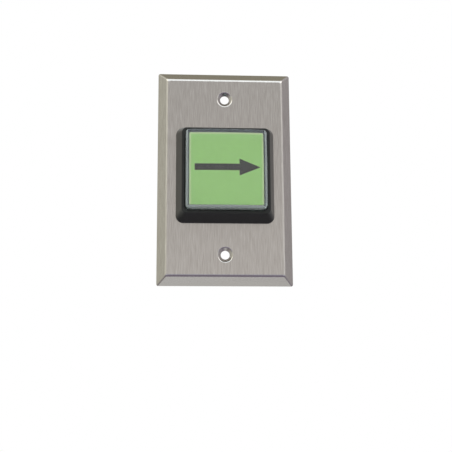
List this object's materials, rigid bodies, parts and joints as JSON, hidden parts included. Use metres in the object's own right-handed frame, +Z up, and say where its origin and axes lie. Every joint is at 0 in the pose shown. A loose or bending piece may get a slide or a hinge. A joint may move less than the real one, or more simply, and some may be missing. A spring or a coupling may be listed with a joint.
{
  "type": "illuminated push button on a wall plate",
  "caption": "Square illuminated push button with a clear domed cap and green legend, in a flared black bezel on a bevelled brushed-steel wall plate, with its switch and lamp behind.",
  "frame": {"origin": "centre of the wall plate on the wall plane that its rear rim rests on", "axes": "+Z up the plate's long side, -Y out of the wall towards the user, +X to the right seen from the front"},
  "size_m": [0.0698, 0.0668, 0.1142],
  "materials": {
    "brushed_plate": "vertical brushed grain",
    "black_housing": "fine moulded texture, satin",
    "black_nut": "moulded nylon",
    "clear_lens": "clear polished",
    "green_legend": "translucent green, satin",
    "white_diffuser": "translucent white",
    "white_carrier": "moulded",
    "spring_steel": "drawn wire",
    "ivory_holder": "moulded nylon",
    "terminal_brass": "stamped strip",
    "lamp_plastic": "moulded",
    "tinned_wire": "tinned",
    "lamp_epoxy": "diffused epoxy",
    "switch_black": "moulded phenolic",
    "plunger_red": "moulded",
    "stainless_strip": "cold-rolled strip",
    "contact_bronze": "spring strip",
    "contact_silver": "silver alloy"
  },
  "bodies": {
    "root": {"face_plate": "brushed_plate", "bezel_housing": "black_housing", "retaining_nut": "black_nut", "return_spring": "spring_steel", "lamp_holder": "ivory_holder", "lamp_terminal_upper": "terminal_brass", "lamp_terminal_lower": "terminal_brass", "lamp_base": "lamp_plastic", "lamp_leads": "tinned_wire", "led_dome": "lamp_epoxy", "switch_case": "switch_black", "switch_cover": "switch_black", "lever_pin": "stainless_strip", "fixed_contacts": "contact_silver", "com_terminal": "terminal_brass", "no_terminal": "terminal_brass", "nc_terminal": "terminal_brass", "cover_rivets": "stainless_strip"},
    "button": {"plunger_carrier": "white_carrier", "diffuser_plate": "white_diffuser"},
    "lens": {"lens_cap": "clear_lens", "legend_insert": "green_legend"},
    "lever": {"switch_lever": "stainless_strip"},
    "switch_pin": {"switch_plunger": "plunger_red"},
    "blade": {"snap_blade": "contact_bronze", "blade_contact": "contact_silver", "bow_spring": "contact_bronze"}
  },
  "joints": [
    {"name": "button_press", "type": "slide", "parent": "root", "child": "button", "axis": [0, 1, 0], "range_m": [0, 0.0032], "stiffness_N_per_m": 450, "springref_m": -0.004, "deforming": ["return_spring"]},
    {"name": "lens_release", "type": "slide", "parent": "button", "child": "lens", "axis": [0, -1, 0], "range_m": [0, 0.012]},
    {"name": "lever_swing", "type": "hinge", "parent": "root", "child": "lever", "pos_m": [0.00775, 0.0219, -0.0121], "axis": [-1, 0, 0], "range_deg": [0, 14.7]},
    {"name": "switch_travel", "type": "slide", "parent": "root", "child": "switch_pin", "axis": [0, 1, 0], "range_m": [0, 0.00197]},
    {"name": "blade_snap", "type": "hinge", "parent": "root", "child": "blade", "pos_m": [0.00775, 0.031, -0.0072], "axis": [-1, 0, 0], "range_deg": [0, 3.6], "deforming": ["bow_spring"]}
  ],
  "couplings": [
    {"joint": "lever_swing", "follows": "button_press", "rad_per_m": 79.6},
    {"joint": "switch_travel", "follows": "button_press", "ratio": 0.608},
    {"joint": "blade_snap", "follows": "button_press", "rad_per_m": 18.5}
  ]
}
